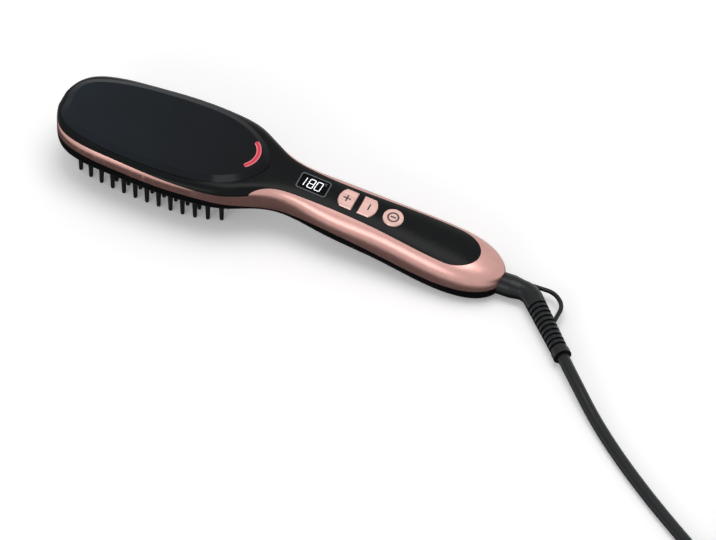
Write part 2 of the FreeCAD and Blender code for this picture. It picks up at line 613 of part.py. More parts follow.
screws = []
boss_reach = size("boss_radius") + size("stand_wall") + size("board_clear")
grip_screw = power_middle - size("power_length") / 2 - boss_reach
for along, meet, top in ((size("screw_neck"), size("screw_neck_meet"), size("neck_top")),
                         (grip_screw, size("screw_grip_meet"), size("grip_top"))):
    wall_end = top - size("shell_wall") / 2
    tip = meet + size("screw_bite")
    boss = rod(size("boss_radius"), meet, wall_end, along).common(outer_body)
    pilot = rod(size("screw_radius") + size("screw_gap"), meet, tip + size("screw_gap"), along)
    top_cover = top_cover.fuse(boss).cut(pilot)
    seat = meet - size("screw_land")
    stand = rod(size("boss_radius") + size("stand_wall"), 0, meet, along).common(outer_body)
    bottom_cover = bottom_cover.fuse(stand).cut(
        [rod(size("screw_radius") + size("screw_gap"), 0, meet, along),
         rod(size("screw_head") + size("screw_gap"), 0, seat, along)])
    screws.append(rod(size("screw_radius"), seat, tip, along).fuse(
        rod(size("screw_head"), seat - size("screw_head_thick"), seat, along)))
place_feature("case_screws", Part.makeCompound(screws))


def route_wire(points):
    """Straight runs joined by tangent arcs, each as large as its two runs allow, and the radii."""
    edges = []
    radii = []
    start = points[0]
    for before, corner, after in zip(points, points[1:], points[2:]):
        way_in = (corner - before).normalize()
        way_out = (after - corner).normalize()
        turn = way_in.getAngle(way_out)
        tangent = size("bend_share") * min((corner - before).Length, (after - corner).Length)
        radius = tangent / math.tan(turn / 2)
        first = corner - way_in * tangent
        last = corner + way_out * tangent
        inward = (way_out - way_in).normalize()
        middle = corner + inward * (radius / math.cos(turn / 2) - radius)
        edges += [Part.LineSegment(start, first).toShape(), Part.Arc(first, middle, last).toShape()]
        radii.append(radius)
        start = last
    edges.append(Part.LineSegment(start, points[-1]).toShape())
    return Part.Wire(edges), radii


def tube(points, radius):
    """A round tube along a route, with its volume and bends printed."""
    path, radii = route_wire(points)
    ring = Part.Wire([Part.makeCircle(radius, points[0], points[1] - points[0])])
    solid = path.makePipeShell([ring], True, False)
    expected = math.pi * radius ** 2 * path.Length
    print("tube length %.1f, tightest bend %.1f, volume share %.4f"
          % (path.Length, min(radii), solid.Volume / expected))
    return solid


# Heater wires, from the power board under the control board to the heater
wires = []
wire_end_height = heater_top + size("wire_radius") + size("wire_seat")
for side in (-1, 1):
    lane = side * size("wire_across")
    knee = Vector(size("wrist_along"), lane, size("wire_wrist_height"))
    start = Vector(power_middle - size("power_length") / 2 - size("wire_reach"), lane,
                   rib_height + size("power_thick") / 2)
    bend = Vector(size("neck_along") - size("wire_bend"), lane, wire_end_height)
    finish = Vector(fuse_along + size("fuse_radius") + size("wire_reach"), lane, wire_end_height)
    wires.append(tube([start, knee, bend, finish], size("wire_radius")))
place_feature("heater_wires", Part.makeCompound(wires))

# Swivel at the handle's end
axis_height = size("swivel_height")
ahead = Vector(1, 0, 0)


def turned(radius, start, finish):
    """A round bar on the swivel's axis, between two places along the brush."""
    return Part.makeCylinder(radius, finish - start, Vector(start, 0, axis_height), ahead)


bush_in = size("bush_start")
bush_out = bush_in + size("bush_length")
clip_out = bush_in - size("swivel_play")
clip_in = clip_out - size("clip_thick")
spigot_in = clip_in - size("clip_play") - size("spigot_tail")
sleeve_in = bush_out + size("swivel_play")
bush = turned(size("bush_radius"), bush_in, bush_out).cut(
    turned(size("spigot_radius") + size("swivel_fit"), bush_in, bush_out))
place_feature("swivel_bush", bush)
clip_room = size("clip_radius") + size("swivel_gap")
room_in = spigot_in - size("swivel_gap")
pocket = block(bush_in - room_in, 2 * clip_room, axis_height - clip_room, axis_height + clip_room,
               (room_in + bush_in) / 2)
tail_cuts = [turned(size("bush_radius"), bush_in, bush_out), pocket,
             turned(size("sleeve_radius") + size("swivel_gap"), bush_out, 2 * size("end_along"))]
for tail_cut in tail_cuts:
    top_cover = top_cover.cut(tail_cut)
    side_frame = side_frame.cut(tail_cut)
    bottom_cover = bottom_cover.cut(tail_cut)
groove_radius = size("spigot_radius") - size("clip_bite")
spigot = turned(groove_radius, spigot_in, sleeve_in + size("swivel_play")).fuse(
    [turned(size("spigot_radius"), spigot_in, clip_in - size("clip_play")),
     turned(size("spigot_radius"), clip_out + size("clip_play"), sleeve_in + size("swivel_play"))])
clip = turned(size("clip_radius"), clip_in, clip_out).cut(
    turned(groove_radius + size("swivel_fit"), clip_in, clip_out))
place_feature("swivel_clip", clip)

# Strain relief: sleeve, bend to the side, ribbed tail
neck_radius = size("relief_radius")
bend_radius = size("relief_bend")
bend_turn = size("relief_turn")
bend_start = size("bend_start")
sleeve = turned(size("sleeve_radius"), sleeve_in, bend_start - size("relief_cone"))
cone = Part.makeCone(size("sleeve_radius"), neck_radius, size("relief_cone"),
                     Vector(bend_start - size("relief_cone"), 0, axis_height), ahead)
disc = Part.Face(Part.Wire([Part.makeCircle(neck_radius, Vector(bend_start, 0, axis_height), ahead)]))
elbow = disc.revolve(Vector(bend_start, -bend_radius, axis_height), Vector(0, 0, -1), bend_turn)
heading = Rotation(Vector(0, 0, 1), -bend_turn).multVec(ahead)
turn_rad = math.radians(bend_turn)
tail_start = Vector(bend_start + bend_radius * math.sin(turn_rad),
                    -bend_radius * (1 - math.cos(turn_rad)), axis_height)
rib_count = int(size("rib_count"))
tail_length = size("relief_tail")
rib_pitch = (tail_length - size("relief_plain") - size("relief_ring")) / rib_count


def tail_radius(along):
    """The tail's radius, tapering towards the cord."""
    return neck_radius + (size("relief_thin") - neck_radius) * along / tail_length


profile = [Vector(0, 0, 0), Vector(0, neck_radius, 0)]
for rib in range(rib_count):
    groove_in = size("relief_plain") + rib * rib_pitch
    groove_out = groove_in + rib_pitch * size("rib_slot_share")
    for along, depth in ((groove_in, 0), (groove_in, 1), (groove_out, 1), (groove_out, 0)):
        profile.append(Vector(along, tail_radius(along) - depth * size("rib_depth"), 0))
ring_in = tail_length - size("relief_ring")
profile += [Vector(ring_in, tail_radius(ring_in), 0), Vector(ring_in, size("ring_radius"), 0),
            Vector(tail_length, size("ring_radius"), 0), Vector(tail_length, 0, 0), Vector(0, 0, 0)]
ribbed = Part.Face(Part.makePolygon(profile)).revolve(Vector(), ahead, 360)
ribbed.Placement = Placement(tail_start, Rotation(Vector(0, 0, 1), -bend_turn))
strain_relief = spigot.fuse([sleeve, cone, elbow, ribbed]).removeSplitter()
place_feature("strain_relief", strain_relief)

loop_points = [Vector(size("loop_start_along"), size("loop_start_across"), axis_height),
               Vector(size("loop_far_along"), size("loop_far_across"), axis_height),
               Vector(size("loop_peak_along"), size("loop_peak_across"), axis_height),
               tail_start + heading * size("loop_join")]
hanging_loop = tube(loop_points, size("loop_radius")).cut(strain_relief)
hanging_loop = max(hanging_loop.Solids, key=lambda solid: solid.Volume)
place_feature("hanging_loop", hanging_loop)

# Cord: the lead along the surface, a tied coil of the rest, and the plug's tail
cord_radius = size("cord_radius")
floor_line = cord_radius + size("cord_lift")
coil_line = cord_radius + size("coil_lift")
cord_start = tail_start + heading * tail_length
coil_centre = Vector(size("coil_along"), size("coil_across"), 0)
entry_turn = math.radians(size("coil_entry"))
layer_turns = size("coil_layer_turns")
climb_turns = size("coil_climb_turns")
coil_turns = 2 * layer_turns + climb_turns


def coil_point(turns):
    """A point of the coil after a number of turns: in on the floor, up, and out on top."""
    rise = min(max((turns - layer_turns) / climb_turns, 0.0), 1.0)
    eased = rise * rise * (3 - 2 * rise)
    inward = coil_turns / 2 - abs(turns - coil_turns / 2)
    radius = size("coil_wide") - size("coil_pitch") * inward
    angle = entry_turn + 2 * math.pi * turns
    height = coil_line + eased * size("coil_layer_height")
    return coil_centre + Vector(radius * math.cos(angle), radius * math.sin(angle), height)


def coil_heading(turns):
    """The coil's direction at a number of turns."""
    step = 0.001
    return (coil_point(turns + step) - coil_point(turns - step)).normalize()


def biarc(start, start_way, finish, finish_way):
    """Two arcs that leave one point in its direction and reach another in its own."""
    chord = finish - start
    both = start_way + finish_way
    square = both.dot(both) - 4
    along = chord.dot(both)
    reach = (along - math.sqrt(along ** 2 - square * chord.dot(chord))) / square
    if reach <= 0:
        reach = (along + math.sqrt(along ** 2 - square * chord.dot(chord))) / square
    knee_in = start + start_way * reach
    knee_out = finish - finish_way * reach
    joint = (knee_in + knee_out) * 0.5
    arcs = []
    for first, knee, last in ((start, knee_in, joint), (joint, knee_out, finish)):
        middle = (first + last) * 0.5
        half = (last - first).Length / 2
        lean = math.atan2((knee - middle).Length, half)
        crest = middle + (knee - middle).normalize() * (half * math.tan(lean / 2))
        arcs.append(Part.Arc(first, crest, last).toShape())
    return arcs


QUARTERS = int(round(4 * coil_turns))
stops = [coil_turns * step / QUARTERS for step in range(QUARTERS + 1)]
coil_in = coil_point(0)
coil_out = coil_point(coil_turns)
ways = [coil_heading(stop) for stop in stops]
coil_in_way = ways[0]
coil_out_way = ways[-1]
lead_end = coil_in - coil_in_way * (2 * cord_radius)
tail_begin = coil_out + coil_out_way * (2 * cord_radius)
winding = [Part.LineSegment(lead_end, coil_in).toShape()]
for index in range(QUARTERS):
    winding += biarc(coil_point(stops[index]), ways[index], coil_point(stops[index + 1]), ways[index + 1])
winding.append(Part.LineSegment(coil_out, tail_begin).toShape())
coil_path = Part.Wire(winding)
coil_ring = Part.Wire([Part.makeCircle(cord_radius, lead_end, coil_in_way)])
cord_coil = coil_path.makePipeShell([coil_ring], True, False)
SAMPLES = 600
APART = int(SAMPLES / coil_turns / 2)
samples = [coil_point(coil_turns * step / SAMPLES) for step in range(SAMPLES + 1)]
turn_gap = min((samples[first] - samples[last]).Length for first in range(SAMPLES + 1)
               for last in range(first + APART, SAMPLES + 1))
print("coil length %.1f, least gap between turns %.2f, volume share %.4f"
      % (coil_path.Length, turn_gap - 2 * cord_radius,
         cord_coil.Volume / (math.pi * cord_radius ** 2 * coil_path.Length)))
place_feature("cord_coil", cord_coil)

lead_points = [cord_start, cord_start + heading * size("lead_first_run"),
               Vector(size("lead_one_along"), size("lead_one_across"), floor_line + size("lead_rise"))]
for name in ("two", "three", "four"):
    lead_points.append(Vector(size("lead_%s_along" % name), size("lead_%s_across" % name), floor_line))
lead_points += [lead_end - coil_in_way * size("lead_last_run"), lead_end]
place_feature("cord_lead", tube(lead_points, cord_radius))
level_way = Vector(coil_out_way.x, coil_out_way.y, 0).normalize()
plug_height = size("plug_thick") / 2 + size("cord_lift")
tail_run = size("tail_run")
tail_knee = tail_begin + coil_out_way * tail_run
tail_foot = Vector(tail_knee.x, tail_knee.y, plug_height) + level_way * size("tail_drop_run")
plug_start = tail_foot + level_way * tail_run
place_feature("cord_tail", tube([tail_begin, tail_knee, tail_foot, plug_start], cord_radius))

# Tie: a flat strap once round the coil's bundle, on the side away from where the cord comes in
tie_gap = size("tie_gap")
coil_span = size("coil_pitch") * coil_turns / 2
bundle_middle = size("coil_wide") - coil_span / 2
bundle_half = coil_span / 2 + cord_radius + tie_gap
bundle_low = coil_line - cord_radius - tie_gap
bundle_high = coil_line + size("coil_layer_height") + cord_radius + tie_gap
strap = size("tie_thick")
sideways = Vector(0, 1, 0)
tie_width = size("tie_width")
tie = block(2 * (bundle_half + strap), tie_width, bundle_low - strap, bundle_high + strap, bundle_middle)
tie = tie.makeFillet(size("tie_round") + strap, edges_along(tie, sideways))
room = block(2 * bundle_half, tie_width, bundle_low, bundle_high, bundle_middle)
room = room.makeFillet(size("tie_round"), edges_along(room, sideways))
tie = tie.cut(room)
tie.Placement = Placement(coil_centre, Rotation(Vector(0, 0, 1), size("coil_entry") + size("tie_turn")))
place_feature("cord_tie", tie)

# Plug with two pins, lying flat at the end of the cord
plug_turn = math.degrees(math.atan2(level_way.y, level_way.x))
plug_place = Placement(plug_start, Rotation(Vector(0, 0, 1), plug_turn))
collar = Part.makeCone(size("plug_neck"), size("plug_thick") / 2 - size("plug_round") / 2,
                       size("plug_collar"), Vector(), ahead)
half_thick = size("plug_thick") / 2
grip = block(size("plug_length"), size("plug_width"), -half_thick, half_thick,
             size("plug_collar") + size("plug_length") / 2)
grip = grip.makeFillet(size("plug_round"), edges_along(grip, ahead))
plug_body = collar.fuse(grip).removeSplitter()
plug_body.Placement = plug_place
place_feature("plug_body", plug_body)
pins = []
face_along = size("plug_collar") + size("plug_length")
for side in (-1, 1):
    stem = Part.makeCylinder(size("pin_radius"), size("pin_length"),
                             Vector(face_along, side * size("pin_spacing") / 2, 0), ahead)
    pin = stem.makeFillet(size("pin_round"), [stem.Edges[0]])
    pin.Placement = plug_place
    pins.append(pin)
place_feature("plug_pins", Part.makeCompound(pins))

place_feature("top_cover", top_cover)
place_feature("side_frame", side_frame)
place_feature("bottom_cover", bottom_cover)
doc.recompute()

# Every sub-part is sound before any file is written
sub_parts = [item for item in doc.Objects if item.TypeId in ("Part::Feature", "PartDesign::Body")]
for item in doc.Objects:
    if "Invalid" in item.State or "Error" in item.State:
        raise RuntimeError(item.Name + " did not build")
for item in sub_parts:
    if item.Shape.isNull() or not item.Shape.isValid():
        raise RuntimeError(item.Label + " has no sound shape")
os.makedirs("parts", exist_ok=True)
for item in sub_parts:
    item.Shape.exportStep("parts/%s.step" % item.Label)
    print("%-18s %3d solids, volume %9.1f" % (item.Label, len(item.Shape.Solids), item.Shape.Volume))
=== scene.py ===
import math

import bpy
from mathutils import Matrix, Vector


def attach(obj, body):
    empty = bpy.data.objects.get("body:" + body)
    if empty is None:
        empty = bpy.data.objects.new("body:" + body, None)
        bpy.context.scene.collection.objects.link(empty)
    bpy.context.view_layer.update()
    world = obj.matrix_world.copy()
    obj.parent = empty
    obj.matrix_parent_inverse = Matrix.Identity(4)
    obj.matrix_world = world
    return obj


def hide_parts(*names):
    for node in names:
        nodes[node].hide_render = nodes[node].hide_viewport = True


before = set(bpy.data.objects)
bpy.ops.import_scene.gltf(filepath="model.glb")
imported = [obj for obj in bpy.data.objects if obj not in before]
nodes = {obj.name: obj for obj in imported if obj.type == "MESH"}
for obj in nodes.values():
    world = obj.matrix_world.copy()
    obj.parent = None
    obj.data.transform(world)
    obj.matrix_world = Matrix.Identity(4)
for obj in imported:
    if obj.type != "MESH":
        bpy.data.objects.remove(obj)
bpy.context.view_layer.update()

# %% [markdown]
# A heated straightening brush lies bristles down on a white table, with its lead running off to the right.
# The measured solids come in as the frame. Most of them already have the true shape, so they stay and get
# their finishes here. The lead, the printed marks and the lit digits are modelled on top of them.

bpy.ops.object.select_all(action="DESELECT")

# %% [markdown]
# The photograph looks down on the brush from about 50 degrees, from the bristle side and a little from the
# handle's end. Lines that run away from the viewer stay parallel, so a long lens far away fits best.
# A wide lens close by would make the head look larger than the handle.

# %% camera
FRAME_WIDE = 0.4287
DISTANCE = 12.0
target = Vector((0.0652, -0.0349, 0.0200))
ahead = Vector((-0.2588, 0.5841, -0.7694)).normalized()
view = bpy.data.cameras.new("camera")
view.sensor_width = 36.0
view.lens = view.sensor_width * DISTANCE / FRAME_WIDE
camera = bpy.data.objects.new("camera", view)
bpy.context.scene.collection.objects.link(camera)
camera.location = target - ahead * DISTANCE
camera.rotation_euler = ahead.to_track_quat("-Z", "Y").to_euler()
view.clip_end = 100.0
bpy.context.scene.camera = camera
bpy.context.scene.view_settings.view_transform = "Standard"
print("lens %.0f mm" % view.lens)

# %% [markdown]
# The table is a plain white sheet that only has to catch the soft shadow. To the eye it is lifted a little,
# so that it is white without more light on the brush. The sky is white to the eye and in reflections, and
# dimmer as a light. It darkens towards the ground, so that the band's lower side turns dark as it does in
# the photograph. The floor stays out of the reflections for the same reason.
# A photographed sky would do the same, but it would bring its own pattern into the glossy plate.

# %% floor, sky and lamps
FLOOR_SIDE = 8.0
FLOOR_LEVEL = -0.0002
FLOOR_LIFT = 0.16
SKY_AS_LIGHT = 0.52
SKY_AS_SEEN = 1.0
DARK_BELOW, WHITE_ABOVE = -0.62, -0.46
bpy.ops.mesh.primitive_plane_add(size=FLOOR_SIDE, location=(0.0, 0.0, FLOOR_LEVEL))
floor = bpy.context.object
floor.name = "floor"
sheet = bpy.data.materials.new("floor_white")
sheet.use_nodes = True
paper = sheet.node_tree.nodes["Principled BSDF"]
paper.inputs["Base Color"].default_value = (0.98, 0.98, 0.98, 1.0)
paper.inputs["Roughness"].default_value = 0.9
paper.inputs["Specular IOR Level"].default_value = 0.0
paper.inputs["Emission Color"].default_value = (1.0, 1.0, 1.0, 1.0)
glance = sheet.node_tree.nodes.new("ShaderNodeLightPath")
lift = sheet.node_tree.nodes.new("ShaderNodeMath")
lift.operation = "MULTIPLY"
lift.inputs[1].default_value = FLOOR_LIFT
sheet.node_tree.links.new(glance.outputs["Is Camera Ray"], lift.inputs[0])
sheet.node_tree.links.new(lift.outputs[0], paper.inputs["Emission Strength"])
floor.data.materials.append(sheet)
floor.visible_glossy = False

world = bpy.data.worlds.new("studio")
bpy.context.scene.world = world
world.use_nodes = True
sky = world.node_tree
sky.nodes.clear()
lit = sky.nodes.new("ShaderNodeBackground")
lit.inputs["Strength"].default_value = SKY_AS_LIGHT
heading = sky.nodes.new("ShaderNodeTexCoord")
level = sky.nodes.new("ShaderNodeSeparateXYZ")
ground = sky.nodes.new("ShaderNodeMapRange")
ground.inputs["From Min"].default_value = DARK_BELOW
ground.inputs["From Max"].default_value = WHITE_ABOVE
fade = sky.nodes.new("ShaderNodeValToRGB")
fade.color_ramp.elements[0].position = 0.0
fade.color_ramp.elements[0].color = (0.06, 0.05, 0.05, 1.0)
fade.color_ramp.elements[1].position = 1.0
fade.color_ramp.elements[1].color = (1.0, 1.0, 1.0, 1.0)
sky.links.new(heading.outputs["Generated"], level.inputs[0])
sky.links.new(level.outputs["Z"], ground.inputs["Value"])
sky.links.new(ground.outputs["Result"], fade.inputs["Fac"])
sky.links.new(fade.outputs["Color"], lit.inputs["Color"])
seen = sky.nodes.new("ShaderNodeBackground")
seen.inputs["Strength"].default_value = SKY_AS_SEEN
sky.links.new(fade.outputs["Color"], seen.inputs["Color"])
rays = sky.nodes.new("ShaderNodeLightPath")
mirrored = sky.nodes.new("ShaderNodeMath")
mirrored.operation = "MAXIMUM"
shown = sky.nodes.new("ShaderNodeMath")
shown.operation = "MAXIMUM"
blend = sky.nodes.new("ShaderNodeMixShader")
result = sky.nodes.new("ShaderNodeOutputWorld")
sky.links.new(rays.outputs["Is Glossy Ray"], mirrored.inputs[0])
sky.links.new(rays.outputs["Is Transmission Ray"], mirrored.inputs[1])
sky.links.new(rays.outputs["Is Camera Ray"], shown.inputs[0])
sky.links.new(mirrored.outputs[0], shown.inputs[1])
sky.links.new(shown.outputs[0], blend.inputs[0])
sky.links.new(lit.outputs[0], blend.inputs[1])
sky.links.new(seen.outputs[0], blend.inputs[2])
sky.links.new(blend.outputs[0], result.inputs[0])


def lamp(name, place, aim, side, power):
    """A square soft lamp that points at a place."""
    light = bpy.data.lights.new(name, "AREA")
    light.size = side
    light.energy = power
    stand = bpy.data.objects.new(name, light)
    stand.location = place
    stand.rotation_euler = (Vector(aim) - Vector(place)).to_track_quat("-Z", "Y").to_euler()
    bpy.context.scene.collection.objects.link(stand)


lamp("overhead", (0.1, 0.15, 2.0), (0.0, 0.0, 0.0), 1.2, 15.0)
lamp("near_fill", (-0.4, -2.0, 0.95), (0.0, 0.0, 0.02), 1.0, 8.5)

# %% [markdown]
# The lead is one smooth line: straight out of the strain relief, down to the table, off to the right, and
# then wound up in a tied coil beside the view. A chain of bent tubes would show a corner at each joint.
# A NURBS curve glides past its points, and the coil's turns are simply more points from a loop. They lie
# a little further out than the turns, because the curve cuts inside its points.

# %% lead
MILLI = 1000.0
CORD_RADIUS = 0.00375
route = [(200.133, -37.749, 7.8), (214.276, -51.891, 7.8), (235.0, -71.2, 4.45), (258.5, -90.8, 3.85),
         (284.5, -110.2, 3.85), (312.5, -129.2, 3.85), (347.90, -152.02, 5.05), (372.69, -165.02, 5.05)]
TURNS = 5.5
PER_TURN = 16
COIL_MIDDLE = (406.0, -120.4)
COIL_RADIUS, STEP_IN = 55.0, 8.0
COIL_START = 241.0
COIL_LOW, LAYER_RISE = 5.05, 8.1
RISE_FROM, RISE_TURN = 2.5, 0.5
draw_out = 1.0 / math.cos(math.pi / PER_TURN)
steps = int(TURNS * PER_TURN)
for step in range(steps + 1):
    turn = TURNS * step / steps
    radius = (COIL_RADIUS - STEP_IN * (TURNS / 2 - abs(turn - TURNS / 2))) * draw_out
    angle = math.radians(COIL_START + 360.0 * turn)
    share = min(max((turn - RISE_FROM) / RISE_TURN, 0.0), 1.0)
    height = COIL_LOW + LAYER_RISE * share * share * (3.0 - 2.0 * share)
    route.append((COIL_MIDDLE[0] + radius * math.cos(angle), COIL_MIDDLE[1] + radius * math.sin(angle),
                  height))
route += [(426.19, -68.51, 13.15), (414.11, -61.44, 13.15), (398.57, -52.35, 7.1), (386.49, -45.28, 7.1)]
line = bpy.data.curves.new("mains_lead", "CURVE")
line.dimensions = "3D"
spline = line.splines.new("NURBS")
spline.points.add(len(route) - 1)
for point, place in zip(spline.points, route):
    point.co = (place[0] / MILLI, place[1] / MILLI, place[2] / MILLI, 1.0)
    point.radius = CORD_RADIUS
spline.order_u = 3
spline.use_endpoint_u = True
spline.resolution_u = 8
line.bevel_depth = 1.0
line.bevel_resolution = 6
lead = bpy.data.objects.new("mains_lead", line)
bpy.context.scene.collection.objects.link(lead)
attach(lead, "swivel_cord")
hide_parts("cord_lead", "cord_coil", "cord_tail")
print("lead points", len(route))

# %% [markdown]
# Plastic, rubber and satin metal all vary a little from place to place. A flat colour looks like paint on
# glass, so each finish mixes two close colours with a fine noise and lets the same noise roughen the surface.
# One helper makes them all, because only the numbers differ.

# %% finishes
NOISE_DETAIL = 4.0
DARK_TO, LIGHT_FROM = 0.3, 0.7
BUMP_DEEP = 0.0002


def finish(name, dark, light, grain, rough, metal=0.0, bump=0.0, stretch=(1.0, 1.0, 1.0), shine=0.5,
           spread=0.06):
    """A finish of two close colours mixed by a noise, which also varies the gloss and the surface."""
    made = bpy.data.materials.new(name)
    made.use_nodes = True
    tree = made.node_tree
    shader = tree.nodes["Principled BSDF"]
    shader.inputs["Metallic"].default_value = metal
    shader.inputs["Specular IOR Level"].default_value = shine
    where = tree.nodes.new("ShaderNodeTexCoord")
    mapping = tree.nodes.new("ShaderNodeMapping")
    mapping.inputs["Scale"].default_value = stretch
    noise = tree.nodes.new("ShaderNodeTexNoise")
    noise.inputs["Scale"].default_value = grain
    noise.inputs["Detail"].default_value = NOISE_DETAIL
    tint = tree.nodes.new("ShaderNodeValToRGB")
    tint.color_ramp.elements[0].position = DARK_TO
    tint.color_ramp.elements[0].color = (*dark, 1.0)
    tint.color_ramp.elements[1].position = LIGHT_FROM
    tint.color_ramp.elements[1].color = (*light, 1.0)
    gloss = tree.nodes.new("ShaderNodeMapRange")
    gloss.inputs["To Min"].default_value = rough - spread / 2
    gloss.inputs["To Max"].default_value = rough + spread / 2
    tree.links.new(where.outputs["Object"], mapping.inputs["Vector"])
    tree.links.new(mapping.outputs["Vector"], noise.inputs["Vector"])
    tree.links.new(noise.outputs["Fac"], tint.inputs["Fac"])
    tree.links.new(noise.outputs["Fac"], gloss.inputs["Value"])
    tree.links.new(tint.outputs["Color"], shader.inputs["Base Color"])
    tree.links.new(gloss.outputs["Result"], shader.inputs["Roughness"])
    if bump > 0.0:
        relief = tree.nodes.new("ShaderNodeBump")
        relief.inputs["Strength"].default_value = bump
        relief.inputs["Distance"].default_value = BUMP_DEEP
        tree.links.new(noise.outputs["Fac"], relief.inputs["Height"])
        tree.links.new(relief.outputs["Normal"], shader.inputs["Normal"])
    return made


def dress(material, *names):
    """Puts a finish on every slot of the named nodes."""
    for name in names:
        for place in nodes[name].material_slots:
            place.material = material
    print(material.name, "on", len(names), "nodes")


black = finish("black_satin", (0.0016, 0.0021, 0.0025), (0.0030, 0.0037, 0.0043), 900.0, 0.28, bump=0.03,
               shine=0.10)
rose = finish("rose_satin", (0.56, 0.318, 0.283), (0.59, 0.338, 0.303), 250.0, 0.35, metal=1.0, bump=0.01,
              spread=0.03)
plate = finish("plate_gloss", (0.0095, 0.0140, 0.0185), (0.0115, 0.0170, 0.0225), 40.0, 0.10, shine=0.10,
               spread=0.02)
bristles = finish("bristle_plastic", (0.006, 0.007, 0.008), (0.011, 0.012, 0.013), 600.0, 0.35, shine=0.25)
rubber = finish("lead_rubber", (0.0025, 0.0034, 0.0042), (0.0045, 0.0058, 0.0070), 500.0, 0.32, bump=0.05,
                shine=0.25)
dress(black, "top_cover", "bottom_cover")
dress(rose, "side_frame")
dress(plate, "head_plate")
dress(bristles, "guard_bristles", "heated_bristles", "bristle_base")
dress(rubber, "strain_relief", "hanging_loop")
line.materials.append(rubber)

# %% [markdown]
# The glossy plate's colour carries a painted reflection: blue-grey at the tip and nearly black at the neck.
# Two plates would show a line between them, so its colour is multiplied by a ramp that runs along the brush.

# %% plate
PLATE_TIP, PLATE_END = -0.140, -0.012
tree = plate.node_tree
shader = tree.nodes["Principled BSDF"]
even = shader.inputs["Base Color"].links[0].from_socket
where = tree.nodes.new("ShaderNodeTexCoord")
axes = tree.nodes.new("ShaderNodeSeparateXYZ")
along = tree.nodes.new("ShaderNodeMapRange")
along.inputs["From Min"].default_value = PLATE_TIP
along.inputs["From Max"].default_value = PLATE_END
# Painted reflection: this ramp keeps the plate's colour at the tip and darkens it towards the neck.
shade = tree.nodes.new("ShaderNodeValToRGB")
shade.color_ramp.elements[0].color = (1.0, 1.0, 1.0, 1.0)
shade.color_ramp.elements[1].color = (0.45, 0.32, 0.33, 1.0)
painted_reflection = tree.nodes.new("ShaderNodeMix")
painted_reflection.data_type = "RGBA"
painted_reflection.blend_type = "MULTIPLY"
painted_reflection.inputs[0].default_value = 1.0
tree.links.new(where.outputs["Object"], axes.inputs[0])
tree.links.new(axes.outputs["X"], along.inputs["Value"])
tree.links.new(along.outputs["Result"], shade.inputs["Fac"])
tree.links.new(even, painted_reflection.inputs[6])
tree.links.new(shade.outputs["Color"], painted_reflection.inputs[7])
tree.links.new(painted_reflection.outputs[2], shader.inputs["Base Color"])
print("plate shaded from %.0f to %.0f mm" % (PLATE_TIP * MILLI, PLATE_END * MILLI))

# %% [markdown]
# The two temperature keys and the on/off key are rose-coloured metal that was brushed along the handle.
# Brushing is thousands of fine scratches one way. Cutting them would be wasteful, so the noise is stretched
# along the brush and squeezed across it, which gives the same long streaks.

# %% keys
brushed = finish("key_brushed", (0.54, 0.33, 0.29), (0.72, 0.48, 0.435), 60.0, 0.34, metal=1.0, bump=0.12,
                 stretch=(1.0, 40.0, 1.0), spread=0.14)
dress(brushed, "plus_button", "minus_button", "power_button")

# %% [markdown]
# The display has a thin grey rim round a black pane. The light beside the plate's end is a red crescent
# that is brightest along its two edges, because the moulded bar carries light along its sides.
# Two ring strips would need fitting, so a ramp on the distance from the crescent's centre draws them.

# %% display and light
rim = finish("rim_grey", (0.065, 0.069, 0.073), (0.10, 0.105, 0.11), 500.0, 0.35, metal=0.3)
pane = finish("pane_black", (0.002, 0.002, 0.0025), (0.003, 0.003, 0.0035), 60.0, 0.06, shine=0.04,
              spread=0.02)
dress(rim, "display_bezel")
dress(pane, "display_window")

LIGHT_MIDDLE = (-0.0299, 0.0022, 0.0)
LIGHT_RADIUS = 0.0126
LIGHT_WIDE = 0.0028
glow = bpy.data.materials.new("red_light")
glow.use_nodes = True
tree = glow.node_tree
shader = tree.nodes["Principled BSDF"]
shader.inputs["Roughness"].default_value = 0.2
where = tree.nodes.new("ShaderNodeTexCoord")
flat = tree.nodes.new("ShaderNodeVectorMath")
flat.operation = "MULTIPLY"
flat.inputs[1].default_value = (1.0, 1.0, 0.0)
reach = tree.nodes.new("ShaderNodeVectorMath")
reach.operation = "DISTANCE"
reach.inputs[1].default_value = LIGHT_MIDDLE
across = tree.nodes.new("ShaderNodeMapRange")
across.inputs["From Min"].default_value = LIGHT_RADIUS - LIGHT_WIDE / 2
across.inputs["From Max"].default_value = LIGHT_RADIUS + LIGHT_WIDE / 2
bands = tree.nodes.new("ShaderNodeValToRGB")
bands.color_ramp.elements[0].position = 0.0
bands.color_ramp.elements[0].color = (0.9, 0.25, 0.28, 1.0)
bands.color_ramp.elements[1].position = 1.0
bands.color_ramp.elements[1].color = (0.9, 0.25, 0.28, 1.0)
for spot, shade in ((0.22, (0.45, 0.02, 0.04, 1.0)), (0.78, (0.45, 0.02, 0.04, 1.0))):
    bands.color_ramp.elements.new(spot).color = shade
tree.links.new(where.outputs["Object"], flat.inputs[0])
tree.links.new(flat.outputs["Vector"], reach.inputs[0])
tree.links.new(reach.outputs["Value"], across.inputs["Value"])
tree.links.new(across.outputs["Result"], bands.inputs["Fac"])
tree.links.new(bands.outputs["Color"], shader.inputs["Base Color"])
tree.links.new(bands.outputs["Color"], shader.inputs["Emission Color"])
shader.inputs["Emission Strength"].default_value = 0.4
dress(glow, "light_lens")

# %% [markdown]
# Inside the casing are metal, ceramic and circuit boards. They hardly show, but a turned or opened brush
# should look right too, so each gets a finish of its real material.

